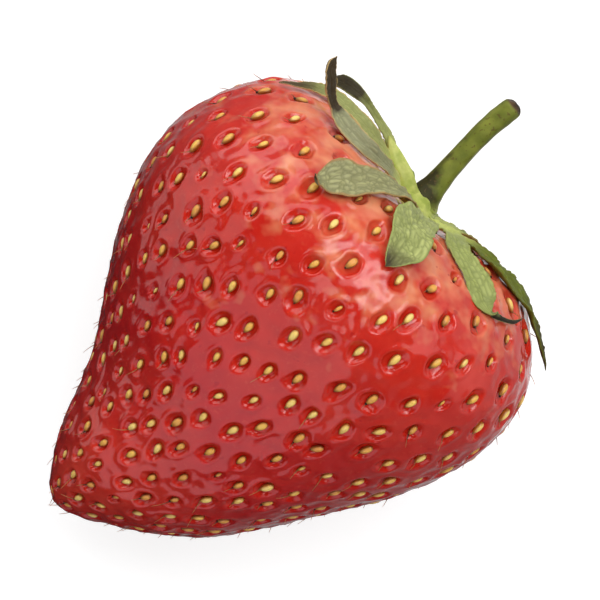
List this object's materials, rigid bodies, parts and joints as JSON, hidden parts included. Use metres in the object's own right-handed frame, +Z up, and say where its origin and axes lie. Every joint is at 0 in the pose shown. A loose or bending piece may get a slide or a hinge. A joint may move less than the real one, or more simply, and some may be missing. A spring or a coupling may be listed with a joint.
{
  "type": "strawberry",
  "caption": "Ripe red strawberry lying on its side, with its green calyx, a short cut stem and a small flat spot that it rests on.",
  "frame": {"origin": "middle of the small flat spot under the berry, on the surface that it rests on", "axes": "+Z up from the surface; seen from above with +X to the right, the calyx and stem point to the upper right, 38 degrees from +X towards +Y, and the tip points to the lower left"},
  "size_m": [0.0473, 0.0449, 0.0352],
  "materials": {
    "skin": "gloss",
    "achene": "satin",
    "style": "matte",
    "calyx_base": "satin",
    "sepal": "matte",
    "bractlet": "matte",
    "stem": "satin"
  },
  "bodies": {
    "root": {"fruit": "skin", "calyx_base": "calyx_base", "stem": "stem", "sepal_1": "sepal", "sepal_2": "sepal", "sepal_3": "sepal", "sepal_4": "sepal", "sepal_5": "sepal", "bractlet_1": "bractlet", "bractlet_2": "bractlet", "bractlet_3": "bractlet", "bractlet_4": "bractlet", "bractlet_5": "bractlet"}
  },
  "joints": []
}
